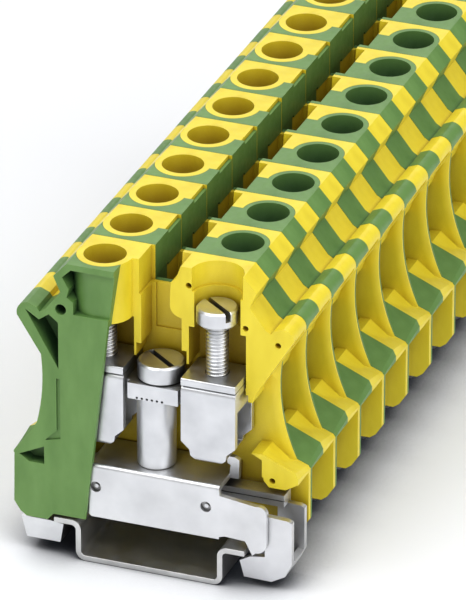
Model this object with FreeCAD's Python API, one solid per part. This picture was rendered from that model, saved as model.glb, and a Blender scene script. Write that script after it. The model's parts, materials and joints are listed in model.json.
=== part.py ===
import FreeCAD, Part
import math
import os

# A strip of earth terminal blocks clamped side by side on a 35 mm top-hat rail.
# Every block is a green front half-shell and a yellow rear half-shell round two screw
# clamps, a busbar and a metal foot. The first block is cut open at its front, so its
# green half ends at a slanted section and the mechanism stands free.
#
# Row frame: X across the rail, Y along the rail, Z up. The origin is the centre of the
# rail's bottom face. Shapes are drawn for one block, whose front plane is Y = 0, and
# are then moved to their place in the strip. All lengths are in millimetres.

Vector = FreeCAD.Vector

# ---- strip and rail ----
BLOCK_COUNT = 12
PITCH = 12.2
HALF = PITCH / 2
GAP = 0.05                       # each block stays this far inside its pitch, at both faces
STRIP_FRONT = -BLOCK_COUNT * PITCH / 2
RAIL_WIDTH = 35.0
RAIL_CHANNEL = 27.0
RAIL_HEIGHT = 7.5
RAIL_SHEET = 1.0
RAIL_BEND = 0.8                  # inside radius of the folds
RAIL_OVERHANG = 0.3
SLOT_PITCH = 25.0
SLOT_COUNT = 5
SLOT_WIDTH = 6.2
SLOT_LENGTH = 15.0

# ---- housing ----
WALL = 1.0
TOP = 56.6
TRENCH_FLOOR = 50.0
SCREW_X = 10.2                   # the clamp screws stand this far each side of the middle
HOLE_R = 3.7
RING_BASE = 52.2                 # the collar round a screw hole reaches down to here
RING_R = 4.6
TUBE_R = 4.9
BORE_R = 4.2
CHAMBER_IN = 5.0
CHAMBER_OUT = 15.4
CHAMBER_TOP = 45.5
HALL_TOP = 38.2
HALL_BOTTOM = 20.0
FOOT_FRONT = 0.6                 # the front wall is thinner beside the foot
RIM_FLARE = 0.6                  # how far the rim of a wire entry widens, and over what depth
RIM_FLARE_DEPTH = 1.5
TUBE_SKIN = 0.5                  # green wall left round the yellow tube
DOWEL_R = 0.45
DOWEL_LENGTH = 2.0
SECTION_TOP_X = -6.2             # the section line at the top face and at the rail
SECTION_BASE_X = -12.1
RIM_TOP = (19.7, 38.5)           # the concave right flank, as three points of an arc
RIM_MIDDLE = (19.79, 29.15)
RIM_LOW = (22.5, 20.2)

# ---- metal parts ----
BAR_LOW = 32.0
BAR_HIGH = 35.0
SLEEVE_HALF = 4.95
SLEEVE_FRONT = 1.5
SLEEVE_SHEET = 1.2
SLEEVE_TOP = 37.8
SLEEVE_LOW = 22.3
THREAD_R = 2.0
FIT = 0.06                       # radial play of a screw in its hole
CLAMP_HEAD_R = 3.6
CLAMP_HEAD_LOW = 47.0
CLAMP_HEAD_TOP = 50.4
MOUNT_HEAD_R = 4.12
MOUNT_HEAD_TOP = 38.4
MOUNT_SLOT_REACH = 3.5           # this slot stops short of the head's rim
MOUNT_SCREW_TIP = 10.0
HEAD_CHAMFER = 0.35
SCREW_SLOT = 1.0
SCREW_SLOT_DEPTH = 1.7
SCREW_SLOT_ANGLE = -38.0
POST_R = 3.4
POST_X = -0.75
POST_Y = 5.7
BRACKET_TOP = 18.6
BRACKET_SHEET = 1.0
BRACKET_BEND = 0.8
BRACKET_FRONT = 0.7
BRACKET_PLAY = 0.1               # the foot recess is this much wider than the bracket
YOKE_HIGH = 15.9
YOKE_LOW = 13.7
YOKE_BAR_END = 22.3
YOKE_BAR_FRONT = 6.3
YOKE_BAR_REAR = 9.6
WIDE_LEG = (20.5, 25.4)          # the right leg from X to X, in the first block
NARROW_LEG = (18.4, 20.2)        # and in the others

VIA = "via"                      # marks the middle point of an arc in an outline


# ---- drawing helpers ----

def outline_wire(points, y):
    """A closed wire in the plane Y = y. A point marked VIA is the middle of an arc."""
    edges = []
    count = len(points)
    at = [Vector(p[0], y, p[1]) for p in points]
    index = 0
    while index < count:
        following = (index + 1) % count
        if len(points[following]) == 3:
            end = (index + 2) % count
            edges.append(Part.Arc(at[index], at[following], at[end]).toShape())
            index += 2
        else:
            edges.append(Part.LineSegment(at[index], at[following]).toShape())
            index += 1
    return Part.Wire(edges)


def prism(points, y_front, y_rear):
    """An outline in X and Z, drawn out along Y."""
    face = Part.Face(outline_wire(points, y_front))
    return face.extrude(Vector(0, y_rear - y_front, 0))


def box(x_low, x_high, y_low, y_high, z_low, z_high):
    corner = Vector(x_low, y_low, z_low)
    return Part.makeBox(x_high - x_low, y_high - y_low, z_high - z_low, corner)


def post(x, y, radius, z_low, z_high):
    return Part.makeCylinder(radius, z_high - z_low, Vector(x, y, z_low))


def pin_along_y(x, z, radius, y_low, y_high):
    return Part.makeCylinder(radius, y_high - y_low, Vector(x, y_low, z), Vector(0, 1, 0))


def flipped(points):
    """The same outline on the other side of X = 0, still in drawing order."""
    return [(-p[0],) + tuple(p[1:]) for p in reversed(points)]


def flipped_shape(shape):
    return shape.mirror(Vector(0, 0, 0), Vector(1, 0, 0))


def in_block(shape, number):
    """A shape drawn for the first pitch, moved to block number 1, 2, 3 and so on."""
    return shape.translated(Vector(0, STRIP_FRONT + (number - 1) * PITCH, 0))


def save(name, shape):
    shape.exportStep("parts/" + name + ".step")


# ---- rail ----

def din_rail():
    """Top-hat rail: a folded strip with two outward flanges and slots in its floor."""
    half_width = RAIL_WIDTH / 2
    under = RAIL_HEIGHT - RAIL_SHEET
    wall_out = RAIL_CHANNEL / 2
    wall_in = wall_out - RAIL_SHEET
    tight = RAIL_BEND
    wide = RAIL_BEND + RAIL_SHEET
    diagonal = math.sqrt(0.5)
    low_x, low_z = wall_out - wide, wide          # centre of the fold at the floor
    high_x, high_z = wall_out + tight, under - tight
    right = [
        (low_x, 0),
        (low_x + wide * diagonal, low_z - wide * diagonal, VIA),
        (wall_out, low_z),
        (wall_out, high_z),
        (high_x - tight * diagonal, high_z + tight * diagonal, VIA),
        (high_x, under),
        (half_width, under),
        (half_width, RAIL_HEIGHT),
        (high_x, RAIL_HEIGHT),
        (high_x - wide * diagonal, high_z + wide * diagonal, VIA),
        (wall_in, high_z),
        (wall_in, low_z),
        (low_x + tight * diagonal, low_z - tight * diagonal, VIA),
        (low_x, RAIL_SHEET),
    ]
    length_half = BLOCK_COUNT * PITCH / 2 + RAIL_OVERHANG
    rail = prism(right + flipped(right), -length_half, length_half)
    straight = (SLOT_LENGTH - SLOT_WIDTH) / 2
    for index in range(SLOT_COUNT):
        centre = (index - (SLOT_COUNT - 1) / 2) * SLOT_PITCH
        slot = box(-SLOT_WIDTH / 2, SLOT_WIDTH / 2, centre - straight, centre + straight, -1, 3)
        for end in (centre - straight, centre + straight):
            slot = slot.fuse(post(0, end, SLOT_WIDTH / 2, -1, 3))
        rail = rail.cut(slot)
    return rail.removeSplitter()


# ---- housing ----

def housing_outline():
    """The side view of a block: two towers with a trench between, and a foot each side."""
    upper = [
        (14.9, TOP),
        (17.3, 53.9),
        (16.0, 50.9),
        (18.95, 47.2),
        (19.9, 46.6),
        (20.4, 47.35),
        (22.0, 48.0),
        (23.5, 47.35, VIA),
        (24.0, 45.3),
        RIM_TOP,
    ]
    foot = [
        (24.95, 9.2),
        (23.8, 7.4),
        (22.7, 6.6),
        (18.8, 6.6),
        (17.7, 7.9),
    ]
    right = upper + [RIM_MIDDLE + (VIA,), RIM_LOW, (24.6, 19.4), (24.95, 18.6)] + foot
    left = upper + [(19.56, 31.8, VIA), (20.6, 25.2), (22.3, 22.5), (24.8, 19.2)] + foot
    trench = [(-3.4, TOP), (-3.4, TRENCH_FLOOR), (1.6, TRENCH_FLOOR), (1.9, TOP)]
    return right + flipped(left) + trench


def tower_bevel():
    """What is cut from the right tower, so that the trench narrows downwards."""
    points = [(1.0, 53.2), (1.7, 53.2), (2.7, 54.2), (3.9, TOP + 1), (1.0, TOP + 1)]
    return prism(points, WALL - 0.1, PITCH - WALL + 0.1)


def inner_space():
    """The hollow shared by both halves: clamp chambers, middle shaft and foot pocket."""
    front = WALL
    rear = PITCH - WALL
    hollow = box(-CHAMBER_OUT, CHAMBER_OUT, front, rear, HALL_BOTTOM, HALL_TOP)
    for side in (-1, 1):
        low, high = sorted((side * CHAMBER_IN, side * CHAMBER_OUT))
        hollow = hollow.fuse(box(low, high, front, rear, HALL_TOP - 1, CHAMBER_TOP))
    shaft = [
        (-3.7, 39.5), (-3.7, TRENCH_FLOOR + 0.5), (1.6, TRENCH_FLOOR + 0.5),
        (1.6, 48.6), (2.2, 47.4, VIA), (3.7, 46.8), (3.7, 39.5),
    ]
    hollow = hollow.fuse(prism(shaft, front, rear))
    hollow = hollow.fuse(box(-4.6, 4.6, front, rear, HALL_TOP - 1, 40.6))
    hall = [(18.6, 4.0), (18.6, 22.0), (16.3, 23.2), (14.0, 23.4)]
    hollow = hollow.fuse(prism(hall + flipped(hall), front, rear))
    right_foot = [
        (12.0, 4.0), (26.0, 4.0), (26.0, 18.6), (24.95, 18.6),
        (22.6, 17.2), (19.6, 17.2), (18.6, 18.4), (12.0, 18.4),
    ]
    left_foot = [(12.0, 4.0), (26.0, 4.0), (26.0, 17.6), (24.95, 17.6), (22.6, 16.4), (12.0, 16.4)]
    hollow = hollow.fuse(prism(right_foot, FOOT_FRONT, rear))
    hollow = hollow.fuse(prism(flipped(left_foot), FOOT_FRONT, rear))
    recess_front = BRACKET_FRONT - BRACKET_PLAY
    recess = box(-12.3, 12.9, recess_front, PITCH - recess_front, 1.0, BRACKET_TOP + BRACKET_PLAY)
    return hollow.fuse(recess)


def wire_scoop():
    """The right wire entry: it runs straight out of the clamp chamber and flares at its rim."""
    reach = HALF - WALL
    path = [
        (15.0, 22.5), (15.0, 34.2), (15.8, 34.2), (15.8, 32.9), (16.6, 32.9),
        (17.3, 34.9), (26.0, 49.1), (26.0, 17.0), (18.3, 23.3), (16.4, 23.2),
    ]
    scoop = prism(path, HALF - reach, HALF + reach)

    def rim(back, y):
        return outline_wire([
            (RIM_TOP[0] - back, RIM_TOP[1]), (RIM_MIDDLE[0] - back, RIM_MIDDLE[1], VIA),
            (RIM_LOW[0] - back, RIM_LOW[1]), (27.0, 18.0), (27.0, 47.0),
        ], y)

    for side in (-1, 1):
        deep = rim(RIM_FLARE_DEPTH, HALF + side * (reach - 0.01))
        edge = rim(0, HALF + side * (reach + RIM_FLARE))
        scoop = scoop.fuse(Part.makeLoft([deep, edge], True, True))
    return scoop


def shoulder():
    """The ramp below the right wire entry, highest along the parting plane."""
    def section(x, z_edge, z_ridge, z_base):
        corners = [
            Vector(x, GAP, z_base), Vector(x, GAP, z_edge), Vector(x, HALF, z_ridge),
            Vector(x, PITCH - GAP, z_edge), Vector(x, PITCH - GAP, z_base),
        ]
        return Part.makePolygon(corners + corners[:1])

    inner = section(18.3, 21.2, 23.4, 18.9)
    brow = section(24.4, 19.45, 20.75, 18.4)
    outer = section(24.95, 18.9, 19.6, 18.6)
    return Part.makeLoft([inner, brow, outer], True, True)


def face_pockets(deepest):
    """Pockets that show on the outer face of a half-shell, on its left side."""
    shapes = [
        ([(22.5, 46.7), (20.0, 45.1), (18.2, 46.4), (16.5, 45.1), (16.5, 36.2)], 4.5),
        ([(16.95, 34.3), (16.25, 34.3), (16.25, 22.7), (19.1, 22.0), (16.95, 24.2)], 0.4),
        ([(23.9, 18.5), (19.3, 20.7), (19.3, 17.3), (22.1, 17.3)], 2.5),
    ]
    cuts = [prism(flipped(points), -1, min(depth, deepest)) for points, depth in shapes]
    cuts.append(pin_along_y(-16.0, 47.7, 1.0, -1, min(4.0, deepest)))
    return Part.makeCompound(cuts)


def tower_pocket():
    """The pocket beside the left screw hole: it leaves a skin round the tube."""
    points = [
        (14.1, 55.5), (15.7, 53.9), (14.5, 51.8), (14.9, 50.2),
        (13.7, 49.4), (13.7, 47.1), (4.6, 47.1), (4.6, 55.4),
    ]
    skin_r = TUBE_R + TUBE_SKIN
    pocket = prism(flipped(points), -1, HALF - TUBE_SKIN)
    pocket = pocket.cut(post(-SCREW_X, HALF, skin_r, CHAMBER_TOP, TOP))
    return pocket.cut(box(-SCREW_X, 0, HALF - skin_r, HALF, CHAMBER_TOP, TOP))


def dowel_places():
    """Where the two halves are pinned together, as X and Z."""
    right = [(15.3, 46.9), (21.2, 44.7), (20.2, 18.5)]
    return right + [(-x, z) for x, z in right] + [(5.0, 53.2)]


def housing_blank():
    """The full block before it is split: outline, hollow, wire entries and shoulders."""
    blank = prism(housing_outline(), GAP, PITCH - GAP)
    scoop = wire_scoop()
    ramp = shoulder()
    blank = blank.cut(inner_space()).cut(tower_bevel())
    blank = blank.cut(scoop).cut(flipped_shape(scoop))
    return blank.fuse(ramp).fuse(flipped_shape(ramp))


def green_shell(blank):
    """The front half, with the collar of the right hole and the trench's left lining."""
    shell = blank.common(box(-30, 30, -1, HALF, 0, 70))
    shell = shell.cut(post(SCREW_X, HALF, BORE_R, CHAMBER_TOP - 1, RING_BASE))
    collar = post(SCREW_X, HALF, RING_R, RING_BASE, TOP)
    shell = shell.fuse(collar).cut(post(SCREW_X, HALF, HOLE_R, RING_BASE - 1, TOP + 1))
    shell = shell.cut(post(-SCREW_X, HALF, TUBE_R + 0.05, CHAMBER_TOP - 1, TOP + 1))
    shell = shell.fuse(box(-4.0, -3.4, HALF, PITCH - GAP - 0.1, TRENCH_FLOOR, 55.9))
    for x, z in dowel_places():
        shell = shell.fuse(pin_along_y(x, z, DOWEL_R, HALF - 1, HALF + DOWEL_LENGTH))
    return shell.cut(face_pockets(HALF)).cut(tower_pocket()).removeSplitter()


def yellow_shell(blank):
    """The rear half, with the whole tube of the left screw hole."""
    shell = blank.common(box(-30, 30, HALF, 20, 0, 70))
    shell = shell.cut(post(SCREW_X, HALF, BORE_R, CHAMBER_TOP - 1, RING_BASE + 0.1))
    shell = shell.cut(post(SCREW_X, HALF, RING_R + 0.05, RING_BASE, TOP + 1))
    shell = shell.fuse(post(-SCREW_X, HALF, TUBE_R, CHAMBER_TOP, TOP))
    shell = shell.cut(post(-SCREW_X, HALF, BORE_R, CHAMBER_TOP - 1, RING_BASE))
    shell = shell.cut(post(-SCREW_X, HALF, HOLE_R, RING_BASE - 1, TOP + 1))
    shell = shell.cut(box(-4.05, -3.0, HALF - 1, PITCH - GAP - 0.1, TRENCH_FLOOR, TOP + 1))
    shell = shell.cut(box(-2.9, 3.7, PITCH - WALL - 0.1, PITCH - WALL + 0.4, 41.6, TRENCH_FLOOR + 1))
    shell = shell.fuse(pin_along_y(16.15, 35.2, 0.85, HALF, PITCH - WALL + 0.1))
    for x, z in dowel_places():
        shell = shell.cut(pin_along_y(x, z, DOWEL_R + 0.1, HALF - 1, HALF + DOWEL_LENGTH + 0.3))
    rear_pockets = face_pockets(WALL / 2).mirror(Vector(0, HALF, 0), Vector(0, 1, 0))
    shell = shell.cut(rear_pockets).cut(flipped_shape(rear_pockets))
    return shell.removeSplitter()


def opened_green_shell(shell):
    """The green half of the first block: only what is left of the slanted section."""
    kept = [(SECTION_TOP_X, TOP), (SECTION_BASE_X, 5.0), (-30, 5.0), (-30, 70), (SECTION_TOP_X, 70)]
    return shell.common(prism(kept, -1, PITCH))


# ---- screw clamps and current path ----

def slotted_head(x, radius, z_low, z_top, slot_reach):
    """A chamfered round head, with a slot that reaches that far from its middle."""
    head = post(x, HALF, radius, z_low, z_top)
    rims = [e for e in head.Edges if len(e.Vertexes) == 1]
    head = head.makeChamfer(HEAD_CHAMFER, rims)
    slot = box(-slot_reach, slot_reach, -SCREW_SLOT / 2, SCREW_SLOT / 2, 0, SCREW_SLOT_DEPTH + 1)
    slot.rotate(Vector(0, 0, 0), Vector(0, 0, 1), SCREW_SLOT_ANGLE)
    slot.translate(Vector(x, HALF, z_top - SCREW_SLOT_DEPTH))
    return head.cut(slot)


def clamp_screw(side):
    """A slotted screw whose tip stands on the busbar and which lifts the sleeve."""
    x = side * SCREW_X
    head = slotted_head(x, CLAMP_HEAD_R, CLAMP_HEAD_LOW, CLAMP_HEAD_TOP, CLAMP_HEAD_R + 1)
    shank = post(x, HALF, THREAD_R, BAR_HIGH + 0.05, CLAMP_HEAD_LOW + 0.2)
    return head.fuse(shank).removeSplitter()


def clamp_sleeve(side):
    """A folded sheet cage, open along X, whose two upper layers carry the thread."""
    x = side * SCREW_X
    rear = PITCH - SLEEVE_FRONT
    profile = [
        (-SLEEVE_HALF, SLEEVE_TOP), (SLEEVE_HALF, SLEEVE_TOP), (SLEEVE_HALF, 25.8),
        (3.4, 24.4), (3.2, 23.3), (2.1, SLEEVE_LOW),
        (-2.1, SLEEVE_LOW), (-3.2, 23.3), (-3.4, 24.4), (-SLEEVE_HALF, 25.8),
    ]
    sleeve = prism([(x + p[0], p[1]) for p in profile], SLEEVE_FRONT, rear)
    inner_front = SLEEVE_FRONT + SLEEVE_SHEET
    inner_rear = rear - SLEEVE_SHEET
    window_low = SLEEVE_LOW + SLEEVE_SHEET
    sleeve = sleeve.cut(box(x - 6, x + 6, inner_front, inner_rear, window_low, BAR_HIGH + 0.1))
    seam = box(x - 6, x + 6, SLEEVE_FRONT - 1, SLEEVE_FRONT + 1.0, 36.3, 36.45)
    sleeve = sleeve.cut(seam)
    bend = box(x - 6, x + 6, SLEEVE_FRONT - 0.2, SLEEVE_FRONT + 0.2, 36.1, 36.5)
    sleeve = sleeve.cut(bend)
    return sleeve.cut(post(x, HALF, THREAD_R + FIT, 30, 40)).removeSplitter()


def busbar():
    """The bar that joins the two clamps, with a narrower tongue into each sleeve."""
    middle = box(-4.6, 4.6, 1.9, PITCH - 1.9, BAR_LOW, BAR_HIGH)
    tongues = box(-14.9, 14.9, 3.1, PITCH - 3.1, BAR_LOW, BAR_HIGH)
    return middle.fuse(tongues).cut(post(0, HALF, THREAD_R + FIT, 30, 40)).removeSplitter()


def earth_post():
    """The thick sleeve that carries the busbar on the metal foot."""
    sleeve = post(POST_X, POST_Y, POST_R, BRACKET_TOP, BAR_LOW)
    return sleeve.cut(post(0, HALF, THREAD_R + FIT, BRACKET_TOP - 1, BAR_LOW + 1))


def mounting_screw():
    """The middle screw: it holds busbar, post and foot, and draws the yoke up."""
    head = slotted_head(0, MOUNT_HEAD_R, BAR_HIGH, MOUNT_HEAD_TOP, MOUNT_SLOT_REACH)
    shank = post(0, HALF, THREAD_R, MOUNT_SCREW_TIP, BAR_HIGH + 0.2)
    return head.fuse(shank).removeSplitter()


# ---- metal foot ----

def foot_bracket():
    """A channel of sheet metal over the rail, whose front plate hooks the right flange."""
    rear_face = PITCH - BRACKET_FRONT
    left_edge = [(-10.9, 8.45), (-12.0, 9.4), (-12.0, 17.5), (-11.6, 18.3, VIA), (-10.8, BRACKET_TOP)]
    hooked = left_edge + [
        (12.5, BRACKET_TOP), (12.6, 16.9), (19.2, 16.0), (20.6, 15.8, VIA), (21.2, 14.8),
        (21.2, 9.0), (20.6, 7.6, VIA), (19.2, 7.0), (18.6, 6.4),
        (17.3, 9.0), (13.6, 9.2), (10.7, 8.45),
    ]
    plain = left_edge + [(12.5, BRACKET_TOP), (12.5, 8.45)]
    body = prism(plain, BRACKET_FRONT, rear_face)
    folds = [e for e in body.Edges if e.BoundBox.ZMin > BRACKET_TOP - 0.01 and e.BoundBox.XLength > 20]
    body = body.makeFillet(BRACKET_BEND, folds)
    body = body.cut(box(
        -13, 13, BRACKET_FRONT + BRACKET_SHEET, rear_face - BRACKET_SHEET, 0, BRACKET_TOP - BRACKET_SHEET
    ))
    hook = prism(hooked, BRACKET_FRONT, BRACKET_FRONT + BRACKET_SHEET)
    hook = hook.common(box(12.0, 25, 0, PITCH, 0, BRACKET_TOP - BRACKET_BEND))
    ear = prism([
        (11.4, 17.7), (14.1, 17.7), (14.2, 21.3), (13.3, 21.8),
        (12.0, 21.8), (12.0, 20.5), (12.6, 20.2), (12.4, BRACKET_TOP), (11.4, BRACKET_TOP),
    ], HALF, HALF + BRACKET_SHEET)
    bracket = body.fuse(hook).fuse(ear).cut(post(0, HALF, THREAD_R + FIT, 10, 20))
    for x in (-10.1, 10.1):
        bracket = bracket.cut(pin_along_y(x, 14.3, 0.7, BRACKET_FRONT - 1, BRACKET_FRONT + 0.4))
    return bracket.removeSplitter()


def wide_leg():
    """The right leg in the first block: two hooked plates, joined by a fold at their foot."""
    leg_in, leg_out = WIDE_LEG
    sheet = 1.1
    front, rear = 1.8, 8.0           # the front faces of the two plates
    plate = [
        (15.9, 4.5), (16.7, 1.5), (21.7, 1.4), (24.2, 2.8), (leg_out, 5.3), (leg_out, 13.3),
        (24.6, 13.7), (leg_in, 13.9), (leg_in, 6.0), (17.8, 5.6),
    ]
    fold = [
        (20.0, 1.43), (21.7, 1.4), (24.2, 2.8), (leg_out, 5.3),
        (24.2, 5.4), (23.3, 3.7), (21.4, 2.6), (20.0, 2.6),
    ]
    leg = prism(plate, front, front + sheet).fuse(prism(plate, rear, rear + sheet))
    leg = leg.fuse(prism(fold, front, rear + sheet))
    return leg.fuse(box(leg_in, YOKE_BAR_END, rear, YOKE_BAR_REAR, 12.0, YOKE_HIGH))


def narrow_leg():
    """The right leg in the other blocks, which ends inside the housing's foot."""
    leg_in, leg_out = NARROW_LEG
    outline = [
        (leg_in, 12.8), (leg_out - 0.65, 12.0), (leg_out - 0.15, 11.8, VIA), (leg_out, 11.2),
        (leg_out, 3.4), (leg_out - 0.95, 2.4), (17.0, 2.4), (16.6, 5.8), (leg_in, 6.2),
    ]
    leg = prism(outline, 5.6, PITCH - WALL - 0.2)
    return leg.fuse(box(leg_in, leg_out, YOKE_BAR_FRONT, YOKE_BAR_REAR, 12.0, YOKE_HIGH))


def clamp_yoke(right_leg, bar_end):
    """A cross bar with a hooked foot at each end. The middle screw draws it upwards."""
    bar = box(-YOKE_BAR_END, bar_end, YOKE_BAR_FRONT, YOKE_BAR_REAR, YOKE_LOW, YOKE_HIGH)
    middle = box(-4.0, 4.0, 2.8, YOKE_BAR_REAR, YOKE_LOW, YOKE_HIGH)
    seam = box(-23, 23, YOKE_BAR_FRONT - 0.3, YOKE_BAR_FRONT + 0.4, 14.7, 14.9)
    left_leg = box(-23.0, -19.6, 3.0, PITCH - WALL - 0.2, 5.0, YOKE_HIGH)
    left_foot = [(-23.8, 6.3), (-22.8, 2.4), (-16.6, 2.4), (-16.0, 6.0), (-18.5, 6.3)]
    left = prism(left_foot, 0.4, PITCH - 0.4)
    yoke = bar.fuse(middle).cut(seam).fuse(right_leg).fuse(left_leg).fuse(left)
    return yoke.cut(post(0, HALF, THREAD_R + FIT, 10, 20)).removeSplitter()


# ---- whole strip ----

def write_parts():
    os.makedirs("parts", exist_ok=True)
    save("din_rail", din_rail())

    blank = housing_blank()
    green = green_shell(blank)
    yellow = yellow_shell(blank)
    save("green_shell_01", in_block(opened_green_shell(green), 1))
    save("yellow_shell_01", in_block(yellow, 1))
    for number in range(2, BLOCK_COUNT + 1):
        save("green_shell_%02d" % number, in_block(green, number))
        save("yellow_shell_%02d" % number, in_block(yellow, number))

    screws = {"left": clamp_screw(-1), "right": clamp_screw(1)}
    sleeves = {"left": clamp_sleeve(-1), "right": clamp_sleeve(1)}
    for side in ("left", "right"):
        save("clamp_screw_" + side, in_block(screws[side], 1))
        save("clamp_sleeve_" + side, in_block(sleeves[side], 1))

    single = {
        "busbar": busbar(),
        "earth_post": earth_post(),
        "mounting_screw": mounting_screw(),
        "foot_bracket": foot_bracket(),
        "clamp_yoke": clamp_yoke(wide_leg(), YOKE_BAR_END),
    }
    for name, shape in single.items():
        save(name, in_block(shape, 1))

    # The other blocks hold the same pieces, with one node for each kind.
    groups = {"rear_" + name + "s": [shape] for name, shape in single.items()}
    groups["rear_clamp_screws"] = list(screws.values())
    groups["rear_clamp_sleeves"] = list(sleeves.values())
    groups["rear_clamp_yokes"] = [clamp_yoke(narrow_leg(), NARROW_LEG[1])]
    for name, shapes in groups.items():
        placed = []
        for number in range(2, BLOCK_COUNT + 1):
            placed += [in_block(shape, number) for shape in shapes]
        save(name, Part.makeCompound(placed))


write_parts()
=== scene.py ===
import bmesh
import bpy
import json
import math
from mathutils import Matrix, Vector


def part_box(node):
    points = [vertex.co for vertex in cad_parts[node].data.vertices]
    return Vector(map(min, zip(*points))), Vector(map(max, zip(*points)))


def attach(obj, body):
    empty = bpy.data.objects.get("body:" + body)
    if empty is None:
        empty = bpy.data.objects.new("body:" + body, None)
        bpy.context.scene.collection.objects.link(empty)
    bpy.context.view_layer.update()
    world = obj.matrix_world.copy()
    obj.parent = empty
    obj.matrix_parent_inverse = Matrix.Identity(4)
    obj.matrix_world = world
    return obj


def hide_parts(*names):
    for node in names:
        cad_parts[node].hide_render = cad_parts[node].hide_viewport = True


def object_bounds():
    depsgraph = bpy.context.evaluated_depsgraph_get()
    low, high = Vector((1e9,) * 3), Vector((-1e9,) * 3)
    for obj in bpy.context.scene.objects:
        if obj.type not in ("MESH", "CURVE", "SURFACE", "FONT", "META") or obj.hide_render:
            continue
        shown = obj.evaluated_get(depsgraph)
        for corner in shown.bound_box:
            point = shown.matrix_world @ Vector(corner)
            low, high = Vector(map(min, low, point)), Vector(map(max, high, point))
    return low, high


# The looks of a strip of earth terminal blocks on a top-hat rail. The first block is cut
# open, so its screws, sleeves, busbar, post and foot get the closest attention.
# All lengths are metres, in the same frame as the CAD: X across, Y along the rail, Z up.

MM = 0.001

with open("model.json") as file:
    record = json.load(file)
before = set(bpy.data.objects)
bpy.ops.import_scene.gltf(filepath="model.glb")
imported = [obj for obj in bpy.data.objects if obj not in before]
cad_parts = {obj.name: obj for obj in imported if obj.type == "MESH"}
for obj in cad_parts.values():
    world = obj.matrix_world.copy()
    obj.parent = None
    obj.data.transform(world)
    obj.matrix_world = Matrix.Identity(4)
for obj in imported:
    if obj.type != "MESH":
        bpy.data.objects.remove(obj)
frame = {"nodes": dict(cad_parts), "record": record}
cad_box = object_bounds()
nodes = frame["nodes"]

BLOCKS = sum(1 for name in nodes if name.startswith("green_shell_"))
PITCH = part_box("yellow_shell_02")[0].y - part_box("yellow_shell_01")[0].y


def box_middle(node):
    low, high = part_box(node)
    return (low + high) / 2


# ---------------------------------------------------------------- material helpers

# Rays per point for the painted shade in corners and recesses.
SIGHT_SAMPLES = 10


class Nodes:
    """A short way to write a material's node tree."""

    def __init__(self, name):
        self.material = bpy.data.materials.new(name)
        self.material.use_nodes = True
        self.tree = self.material.node_tree
        self.shader = self.tree.nodes["Principled BSDF"]
        self.place = self.tree.nodes.new("ShaderNodeTexCoord").outputs["Object"]

    def link(self, output, socket):
        self.tree.links.new(output, socket)

    def drive(self, setting, output):
        """One of the shader's settings follows an output."""
        self.link(output, self.shader.inputs[setting])

    def fix(self, setting, value):
        """One of the shader's settings has the same value everywhere."""
        self.shader.inputs[setting].default_value = value

    def stretched(self, scale):
        """The object's coordinates, scaled by a different amount along each axis."""
        mapping = self.tree.nodes.new("ShaderNodeMapping")
        mapping.inputs["Scale"].default_value = scale
        self.link(self.place, mapping.inputs["Vector"])
        return mapping.outputs["Vector"]

    def noise(self, scale, detail, stretch=(1, 1, 1), roughness=0.5):
        """Noise between 0 and 1, drawn out along an axis whose stretch is below 1."""
        noise = self.tree.nodes.new("ShaderNodeTexNoise")
        noise.inputs["Scale"].default_value = scale
        noise.inputs["Detail"].default_value = detail
        noise.inputs["Roughness"].default_value = roughness
        self.link(self.stretched(stretch), noise.inputs["Vector"])
        return noise.outputs["Fac"]

    def spread(self, value, low, high, from_low=0.3, from_high=0.7):
        """A value between from_low and from_high, spread from low to high."""
        node = self.tree.nodes.new("ShaderNodeMapRange")
        node.inputs["From Min"].default_value = from_low
        node.inputs["From Max"].default_value = from_high
        node.inputs["To Min"].default_value = low
        node.inputs["To Max"].default_value = high
        self.link(value, node.inputs["Value"])
        return node.outputs["Result"]

    def colours(self, value, *stops):
        """A colour ramp through (position, colour) stops."""
        ramp = self.tree.nodes.new("ShaderNodeValToRGB")
        elements = ramp.color_ramp.elements
        while len(elements) < len(stops):
            elements.new(0.5)
        for element, (position, colour) in zip(elements, stops):
            element.position = position
            element.color = (*colour, 1)
        self.link(value, ramp.inputs["Fac"])
        return ramp.outputs["Color"]

    def bump(self, height, distance, strength, below=None):
        """A surface normal for a height, on top of the normal below."""
        bump = self.tree.nodes.new("ShaderNodeBump")
        bump.inputs["Distance"].default_value = distance
        bump.inputs["Strength"].default_value = strength
        self.link(height, bump.inputs["Height"])
        if below is not None:
            self.link(below, bump.inputs["Normal"])
        return bump.outputs["Normal"]

    def painted_shade(self, colour, shade_colour, shade_reach, sight_low=0.04, sight_high=0.62):
        """Painted shade: a colour that turns to a shade colour in corners and recesses, where less of
        the room is in sight.
        """
        sight = self.tree.nodes.new("ShaderNodeAmbientOcclusion")
        sight.samples = SIGHT_SAMPLES
        sight.inputs["Distance"].default_value = shade_reach
        openness = self.spread(sight.outputs["AO"], 0, 1, from_low=sight_low, from_high=sight_high)
        mix = self.tree.nodes.new("ShaderNodeMixRGB")
        mix.inputs["Color1"].default_value = (*shade_colour, 1)
        self.link(openness, mix.inputs["Fac"])
        self.link(colour, mix.inputs["Color2"])
        return mix.outputs["Color"]


# ---------------------------------------------------------------- materials

# Painted shade in corners and recesses: how far it reaches on the plastics and on the metals, and the
# metals' shade colour.
PLASTIC_SHADE_REACH = 10.5 * MM
METAL_SHADE_REACH = 6 * MM
METAL_SHADE_COLOUR = (0.12, 0.115, 0.10)


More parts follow.
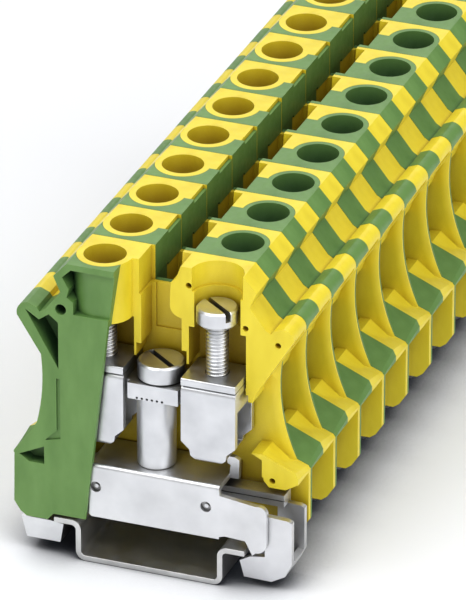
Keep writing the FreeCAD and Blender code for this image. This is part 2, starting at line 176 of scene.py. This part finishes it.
def moulded_plastic(name, shade_colour, dark, middle, light, roughness):
    """Filled polyamide: faint clouds of colour, painted shade in corners and recesses, flow lines and
    a fine eroded grain.
    """
    m = Nodes(name)
    clouds = m.noise(scale=260, detail=4, stretch=(1, 1, 0.35))
    tint = m.colours(clouds, (0.30, dark), (0.50, middle), (0.72, light))
    # The base colour is painted darker, towards the plastic's shade colour, in corners and recesses.
    m.drive("Base Color", m.painted_shade(tint, shade_colour, PLASTIC_SHADE_REACH))
    patches = m.noise(scale=900, detail=3)
    m.drive("Roughness", m.spread(patches, roughness - 0.06, roughness + 0.08))
    flow = m.noise(scale=500, detail=3, stretch=(1, 1, 0.15))
    flow_lines = m.bump(flow, distance=0.02 * MM, strength=0.35)
    grain = m.noise(scale=5200, detail=2)
    m.drive("Normal", m.bump(grain, distance=0.012 * MM, strength=0.5, below=flow_lines))
    m.fix("Specular IOR Level", 0.45)
    m.fix("Subsurface Weight", 0.06)
    m.fix("Subsurface Radius", (0.6, 0.5, 0.2))
    m.fix("Subsurface Scale", 1.2 * MM)
    return m.material


def plated_metal(name, dark, light, roughness, streak, stretch):
    """Tin or zinc plating: soft mottling, painted shade in corners and recesses, rubbed patches, fine
    drawn lines and small dents.
    """
    m = Nodes(name)
    mottle = m.noise(scale=170, detail=4, roughness=0.45)
    tint = m.colours(mottle, (0.30, dark), (0.66, light))
    # The base colour is painted darker in corners and recesses, as shade.
    m.drive("Base Color", m.painted_shade(tint, METAL_SHADE_COLOUR, METAL_SHADE_REACH))
    m.fix("Metallic", 1)
    rubbed = m.noise(scale=600, detail=3)
    m.drive("Roughness", m.spread(rubbed, roughness - 0.05, roughness + 0.08))
    drawn = m.noise(scale=streak, detail=2, stretch=stretch)
    drawn_lines = m.bump(drawn, distance=0.003 * MM, strength=0.5)
    dents = m.noise(scale=420, detail=2)
    m.drive("Normal", m.bump(dents, distance=0.006 * MM, strength=0.3, below=drawn_lines))
    return m.material


# Each plastic's first colour is the painted shade that it turns to in corners and recesses.
GREEN = moulded_plastic(
    "green polyamide", roughness=0.44, shade_colour=(0.012, 0.044, 0.018),
    dark=(0.100, 0.216, 0.046), middle=(0.122, 0.250, 0.058), light=(0.145, 0.284, 0.072),
)
YELLOW = moulded_plastic(
    "yellow polyamide", roughness=0.42, shade_colour=(0.27, 0.14, 0.004),
    dark=(0.76, 0.595, 0.020), middle=(0.83, 0.665, 0.028), light=(0.88, 0.72, 0.040),
)
STEEL = plated_metal(
    "zinc plated steel", dark=(0.58, 0.58, 0.57), light=(0.72, 0.72, 0.71),
    roughness=0.36, streak=1600, stretch=(0.08, 1, 1),
)
FOOT = plated_metal(
    "zinc plated sheet", dark=(0.66, 0.665, 0.68), light=(0.78, 0.785, 0.80),
    roughness=0.38, streak=1800, stretch=(0.10, 1, 1),
)
BRASS = plated_metal(
    "tin plated brass", dark=(0.61, 0.62, 0.64), light=(0.75, 0.76, 0.78),
    roughness=0.36, streak=1600, stretch=(1, 1, 0.08),
)
SCREW = plated_metal(
    "plated screw steel", dark=(0.60, 0.61, 0.63), light=(0.75, 0.76, 0.78),
    roughness=0.34, streak=1600, stretch=(1, 1, 0.3),
)
LOOK_OF_SLOT = {
    "green_polyamide": GREEN,
    "yellow_polyamide": YELLOW,
    "plated_steel": STEEL,
    "foot_steel": FOOT,
    "plated_brass": BRASS,
    "screw_steel": SCREW,
}
SLOT_OF_NODE = {s["node"]: s["material_slot"] for s in frame["record"]["subparts"]}
BODY_OF_NODE = {n: b for b, members in frame["record"]["behaviour"]["bodies"].items() for n in members}


# ---------------------------------------------------------------- mesh helpers

WELD_DISTANCE = 0.002 * MM
FLAT_ANGLE = math.radians(0.8)
SHARP_ANGLE = math.radians(28)


def as_object(name, data):
    """A mesh, a lamp or a camera, put in the scene."""
    thing = bpy.data.objects.new(name, data)
    bpy.context.scene.collection.objects.link(thing)
    return thing


def from_bmesh(name, bm):
    """A new piece with the surface of a bmesh, which is then let go."""
    mesh = bpy.data.meshes.new(name)
    bm.to_mesh(mesh)
    bm.free()
    return as_object(name, mesh)


def smoothed(piece):
    for polygon in piece.data.polygons:
        polygon.use_smooth = True
    return piece


def applied(piece):
    """The piece with its modifiers worked into its mesh."""
    depsgraph = bpy.context.evaluated_depsgraph_get()
    mesh = bpy.data.meshes.new_from_object(piece.evaluated_get(depsgraph))
    piece.modifiers.clear()
    piece.data = mesh
    return piece


def eased(piece, width):
    """Rounds every sharp edge, and shades the flats as flats."""
    smoothed(piece)
    bevel = piece.modifiers.new("ease", "BEVEL")
    bevel.width = width
    bevel.segments = 2
    bevel.limit_method = "ANGLE"
    bevel.angle_limit = SHARP_ANGLE
    normals = piece.modifiers.new("flats", "WEIGHTED_NORMAL")
    normals.mode = "FACE_AREA"
    normals.weight = 60
    return applied(piece)


def welded(node, name, merge_flats=True):
    """A new piece with a CAD node's surface. Merged flats lose their triangulation."""
    bm = bmesh.new()
    bm.from_mesh(nodes[node].data)
    bmesh.ops.remove_doubles(bm, verts=bm.verts, dist=WELD_DISTANCE)
    if merge_flats:
        bmesh.ops.dissolve_limit(bm, angle_limit=FLAT_ANGLE, verts=bm.verts, edges=bm.edges)
    return from_bmesh(name, bm)


def arc(centre, radius, start, end, steps=6):
    """Points on a circle, from one angle to another in degrees."""
    angles = [math.radians(start + (end - start) * i / steps) for i in range(steps + 1)]
    return [(centre[0] + radius * math.cos(a), centre[1] + radius * math.sin(a)) for a in angles]


def circle(centre, radius, points):
    """Points all the way round a circle, without a second one at the start."""
    return arc(centre, radius, 0, 360 - 360 / points, points - 1)


def drawn_out(name, corners, along):
    """A closed flat outline of 3-D corners, drawn out along a vector."""
    bm = bmesh.new()
    face = bm.faces.new([bm.verts.new(c) for c in corners])
    grown = bmesh.ops.extrude_face_region(bm, geom=[face])["geom"]
    moved = [part for part in grown if isinstance(part, bmesh.types.BMVert)]
    bmesh.ops.translate(bm, verts=moved, vec=along)
    bmesh.ops.recalc_face_normals(bm, faces=bm.faces)
    return from_bmesh(name, bm)


def rod(name, x, z, radius, front, rear, points):
    """A round bar along Y, from front to rear."""
    rim = circle((x, z), radius, points)
    return drawn_out(name, [(rim_x, front, rim_z) for rim_x, rim_z in rim], (0, rear - front, 0))


def shaped(piece, tool, operation):
    """The piece after a boolean with a tool, which is then thrown away."""
    modifier = piece.modifiers.new("shape", "BOOLEAN")
    modifier.operation = operation
    modifier.solver = "EXACT"
    modifier.object = tool
    applied(piece)
    bpy.data.objects.remove(tool)
    return piece


def joined(first, second):
    """Two pieces as one object, the first one."""
    bm = bmesh.new()
    bm.from_mesh(first.data)
    bm.from_mesh(second.data)
    bm.to_mesh(first.data)
    bm.free()
    bpy.data.objects.remove(second)
    return smoothed(first)


def finish_piece(piece, node):
    """The piece stands for that CAD node: same body, same material slot."""
    slot = SLOT_OF_NODE[node]
    piece.data.materials.clear()
    piece.data.materials.append(LOOK_OF_SLOT[slot])
    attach(piece, BODY_OF_NODE[node])
    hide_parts(node)
    return piece


# ---------------------------------------------------------------- housings

SHELL_EASE = 0.14 * MM


def shells():
    """Blocks 2 and up share one green and one yellow mesh, a pitch apart."""
    for colour in ("green", "yellow"):
        first = colour + "_shell_01"
        finish_piece(eased(welded(first, colour + "_housing_01"), SHELL_EASE), first)
        shared = eased(welded(colour + "_shell_02", colour + "_housing_02"), SHELL_EASE)
        finish_piece(shared, colour + "_shell_02")
        for number in range(3, BLOCKS + 1):
            piece = as_object("%s_housing_%02d" % (colour, number), shared.data)
            piece.location.y = (number - 2) * PITCH
            finish_piece(piece, "%s_shell_%02d" % (colour, number))


# ---------------------------------------------------------------- clamp screws

THREAD_PITCH = 0.7 * MM
THREAD_CREST = 1.99 * MM
THREAD_ROOT = 1.66 * MM
ROOT_FLAT = 0.12                     # share of the thread's profile that is flat at its root
CREST_FLAT = 0.14                    # and at its crest
RUN_IN = 1.0                         # turns over which the thread grows at its low end
RUN_OUT = 1.4                        # and fades out at its high end
SHANK_CORE = 1.5 * MM
THREAD_END = SHANK_CORE - 0.05 * MM
THREAD_ABOVE_TIP = 0.1 * MM
THREAD_INTO_HEAD = 0.05 * MM
STEPS_ROUND = 56
ROWS_PER_TURN = 12

CAD_SHANK_REACH = 2.1 * MM           # just clear of the CAD's shank
HEAD_HEIGHT = 3.4 * MM
HEAD_CHAMFER = 0.35 * MM
UNDERSIDE_RADIUS = 2.95 * MM
CHAMFER_GROWTH = 0.3 * MM
NEAR = 0.05 * MM                     # two heights closer than this are the same


def thread(name, x, y, low, high):
    """A right-handed thread as a height field round the axis, fading out at both ends."""
    rows = round((high - low) / THREAD_PITCH * ROWS_PER_TURN)
    bm = bmesh.new()
    rings = []
    for row in range(rows + 1):
        z = low + (high - low) * row / rows
        risen = (z - low) / THREAD_PITCH
        left = (high - z) / THREAD_PITCH
        fade = min(1, risen / RUN_IN, left / RUN_OUT)
        ring = []
        for step in range(STEPS_ROUND):
            profile = abs(2 * ((risen - step / STEPS_ROUND) % 1) - 1)
            flank = min(1, max(0, (profile - ROOT_FLAT) / (1 - ROOT_FLAT - CREST_FLAT)))
            radius = THREAD_ROOT + (THREAD_CREST - THREAD_ROOT) * flank * fade
            if row in (0, rows):
                radius = THREAD_END
            angle = 2 * math.pi * step / STEPS_ROUND
            ring.append(bm.verts.new((x + radius * math.cos(angle), y + radius * math.sin(angle), z)))
        rings.append(ring)
    for lower, upper in zip(rings, rings[1:]):
        for step in range(STEPS_ROUND):
            after = (step + 1) % STEPS_ROUND
            bm.faces.new((lower[step], lower[after], upper[after], upper[step]))
    return from_bmesh(name, bm)


def clamp_screw(node):
    """The CAD's slotted head on a thinner core, with a real thread round it."""
    low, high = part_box(node)
    middle = box_middle(node)
    head_low = high.z - HEAD_HEIGHT
    piece = welded(node, node + "_turned")
    for vertex in piece.data.vertices:
        across = Vector((vertex.co.x - middle.x, vertex.co.y - middle.y))
        height = vertex.co.z - head_low
        on_shank = across.length < CAD_SHANK_REACH and height < HEAD_CHAMFER - NEAR
        if on_shank:
            across *= SHANK_CORE / across.length
        elif abs(height) < NEAR:
            across *= UNDERSIDE_RADIUS / across.length
        elif abs(height - HEAD_CHAMFER) < NEAR:
            vertex.co.z += CHAMFER_GROWTH
        vertex.co.x = middle.x + across.x
        vertex.co.y = middle.y + across.y
    eased(piece, width=0.09 * MM)
    helix_low, helix_high = low.z + THREAD_ABOVE_TIP, head_low + THREAD_INTO_HEAD
    helix = thread(node + "_thread", middle.x, middle.y, helix_low, helix_high)
    finish_piece(joined(piece, helix), node)


# ---------------------------------------------------------------- clamp sleeves

SHEET = 1.2 * MM
BEND = 1.0 * MM
LIP_ROUND = 0.3 * MM
SEAM = 0.16 * MM
TOP_LAYER = 1.5 * MM
THREADED_HOLE = 2.06 * MM
CLEARANCE = 1.0 * MM                 # how far a cutting tool stands out of a sleeve
# The sleeve's outline from the front, as shares of its half width and heights over its
# underside. The first height is above its top.
TAPER = [(1, 16 * MM), (1, 3.5 * MM), (0.69, 2.1 * MM), (0.65, 1.0 * MM), (0.42, 0)]


def folded_section(low, high):
    """The sheet from its side: over the top, down the rear, under, and up to a second layer."""
    front, rear = low.y, high.y
    fold_top = high.z - TOP_LAYER
    window_top = fold_top - SHEET
    section = [(front, fold_top + SEAM)]
    section += arc((front + LIP_ROUND, high.z - LIP_ROUND), LIP_ROUND, 180, 90, steps=4)
    section += arc((rear - BEND, high.z - BEND), BEND, 90, 0)
    section += arc((rear - BEND, low.z + BEND), BEND, 0, -90)
    section += arc((front + BEND, low.z + BEND), BEND, -90, -180)
    section += arc((front + BEND, fold_top - BEND), BEND, 180, 90)
    return section + [
        (rear - SHEET - SEAM, fold_top), (rear - SHEET - SEAM, window_top),
        (front + SHEET, window_top), (front + SHEET, low.z + SHEET),
        (rear - SHEET, low.z + SHEET), (rear - SHEET, fold_top + SEAM),
    ]


def clamp_sleeve(node):
    """Folded sheet: the front wall bends in under the top layer, which ends at a seam."""
    low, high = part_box(node)
    middle = box_middle(node)
    section = folded_section(low, high)
    piece = drawn_out(node + "_folded", [(low.x, y, z) for y, z in section], (high.x - low.x, 0, 0))

    half = (high.x - low.x) / 2
    outline = [(middle.x + share * half, low.z + up) for share, up in TAPER]
    outline += [(middle.x - share * half, low.z + up) for share, up in reversed(TAPER)]
    front = low.y - CLEARANCE
    along = (0, high.y + CLEARANCE - front, 0)
    shaped(piece, drawn_out("sleeve_outline", [(x, front, z) for x, z in outline], along), "INTERSECT")

    hole_low = high.z - TOP_LAYER - SHEET - CLEARANCE
    rim = [(x, y, hole_low) for x, y in circle((middle.x, middle.y), THREADED_HOLE, points=48)]
    along = (0, 0, high.z + CLEARANCE - hole_low)
    shaped(piece, drawn_out("sleeve_hole", rim, along), "DIFFERENCE")
    finish_piece(eased(piece, width=0.07 * MM), node)


# ---------------------------------------------------------------- other metal parts

TOOL_OUT = 0.2 * MM                  # a mark's tool starts this far in front of the face
# How wide the eased edges are on the parts that are only welded and eased.
EASE_OF_NODE = {
    "din_rail": 0.12 * MM,
    "earth_post": 0.25 * MM,
    "clamp_yoke": 0.2 * MM,
    "mounting_screw": 0.1 * MM,
}


def round_marks(piece, places, radius, depth, core=0):
    """Round dimples in a piece's front face, each with a raised core if the core has a size."""
    for x, y, z in places:
        front, rear = y - TOOL_OUT, y + depth
        tool = rod("mark", x, z, radius, front, rear, points=24)
        if core:
            hollow = rod("core", x, z, core, front - TOOL_OUT / 2, rear + TOOL_OUT, points=24)
            shaped(tool, hollow, "DIFFERENCE")
        shaped(piece, tool, "DIFFERENCE")


def foot_bracket(node):
    """The folded bracket, with a punched ring near each end of its front."""
    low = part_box(node)[0]
    aside, height = 10.1 * MM, 7.9 * MM
    piece = welded(node, node + "_plated")
    places = [(x, low.y, low.z + height) for x in (-aside, aside)]
    round_marks(piece, places, radius=1.0 * MM, depth=0.92 * MM, core=0.4 * MM)
    finish_piece(eased(piece, width=0.15 * MM), node)


def busbar(node):
    """The bar, with a row of small crimp dots low on its front."""
    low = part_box(node)[0]
    dots, first, step, height = 6, -2.9 * MM, 0.92 * MM, 0.3 * MM
    piece = welded(node, node + "_plated")
    places = [(first + step * i, low.y, low.z + height) for i in range(dots)]
    round_marks(piece, places, radius=0.22 * MM, depth=0.7 * MM)
    finish_piece(eased(piece, width=0.1 * MM), node)


def metal_parts():
    for side in ("left", "right"):
        clamp_screw("clamp_screw_" + side)
        clamp_sleeve("clamp_sleeve_" + side)
    foot_bracket("foot_bracket")
    busbar("busbar")
    for node, width in EASE_OF_NODE.items():
        merge_flats = node != "mounting_screw"      # its slot is a hole within a flat
        finish_piece(eased(welded(node, node + "_plated", merge_flats), width), node)


def rear_nodes():
    """The metal in blocks 2 and up keeps its CAD shape, with the first block's materials."""
    for node in nodes:
        if node.startswith("rear_"):
            nodes[node].data.materials.clear()
            nodes[node].data.materials.append(LOOK_OF_SLOT[SLOT_OF_NODE[node]])


# ---------------------------------------------------------------- studio

AZIMUTH = 20.9                       # degrees, as are the softboxes' angles
ELEVATION = 27.27
CAMERA_DISTANCE = 1.555
AIM = Vector((-7.62 * MM, -13.0 * MM, 22.12 * MM))
LENS = 528.6
FLOOR_REACH = 6.0
FLOOR_GAP = 0.05 * MM
# Painted shadow on the paper close to the strip: its colour and how far it reaches.
PAPER_SHADOW_COLOUR = (0.045, 0.050, 0.062)
PAPER_SHADOW_REACH = 16 * MM
WORLD_STRENGTH = 0.28
# Each softbox: azimuth, elevation, distance, width and height, and power in watts.
SOFTBOXES = {
    "top": (0, 88, 1.2, (1.2, 1.2), 3.5),
    "key": (-34, 60, 1.2, (0.9, 0.9), 6.3),
    "right": (66, 42, 1.3, (1.1, 0.9), 8.3),
    "front": (5, 14, 1.5, (1.0, 0.5), 2.1),
    "back": (-159, 30, 1.5, (1.4, 1.0), 5.5),
}


def facing(name, data, aim, azimuth, elevation, distance):
    """A lamp or camera that looks at a place. Azimuth 0 is in front of it, towards -Y."""
    around, up = math.radians(azimuth), math.radians(elevation)
    flat = math.cos(up)
    back = Vector((math.sin(around) * flat, -math.cos(around) * flat, math.sin(up)))
    thing = as_object(name, data)
    thing.location = aim + back * distance
    thing.rotation_mode = "QUATERNION"
    thing.rotation_quaternion = (-back).to_track_quat("-Z", "Y")
    return thing


def camera():
    data = bpy.data.cameras.new("camera")
    data.lens = LENS
    data.clip_start = 0.01
    data.clip_end = 50
    bpy.context.scene.camera = facing("camera", data, AIM, AZIMUTH, ELEVATION, CAMERA_DISTANCE)


def softbox(name, azimuth, elevation, distance, size, power):
    data = bpy.data.lights.new(name, "AREA")
    data.shape = "RECTANGLE"
    data.size, data.size_y = size
    data.energy = power
    lamp = facing(name, data, Vector((0, 0, 0)), azimuth, elevation, distance)
    lamp.visible_camera = False


def floor():
    """White paper, with a painted shadow close under the rail and the feet."""
    bm = bmesh.new()
    bmesh.ops.create_grid(bm, x_segments=24, y_segments=24, size=FLOOR_REACH)
    ground = from_bmesh("studio_floor", bm)
    ground.location.z = cad_box[0].z - FLOOR_GAP
    paper = Nodes("studio paper")
    fibres = paper.noise(scale=3, detail=2)
    white = paper.colours(fibres, (0.3, (0.91, 0.92, 0.95)), (0.7, (0.94, 0.95, 0.98)))
    # Painted shadow: the paper darkens close under the rail and the feet.
    under = paper.painted_shade(white, PAPER_SHADOW_COLOUR, PAPER_SHADOW_REACH, sight_low=0.28, sight_high=0.84)
    paper.drive("Base Color", under)
    paper.fix("Roughness", 0.9)
    paper.fix("Specular IOR Level", 0.1)
    ground.data.materials.append(paper.material)


def studio():
    floor()
    world = bpy.data.worlds.new("studio")
    world.use_nodes = True
    background = world.node_tree.nodes["Background"]
    background.inputs["Color"].default_value = (1, 1, 1, 1)
    background.inputs["Strength"].default_value = WORLD_STRENGTH
    bpy.context.scene.world = world
    for name, setting in SOFTBOXES.items():
        softbox(name, *setting)
    bpy.context.scene.view_settings.view_transform = "Standard"


shells()
metal_parts()
rear_nodes()
studio()
camera()
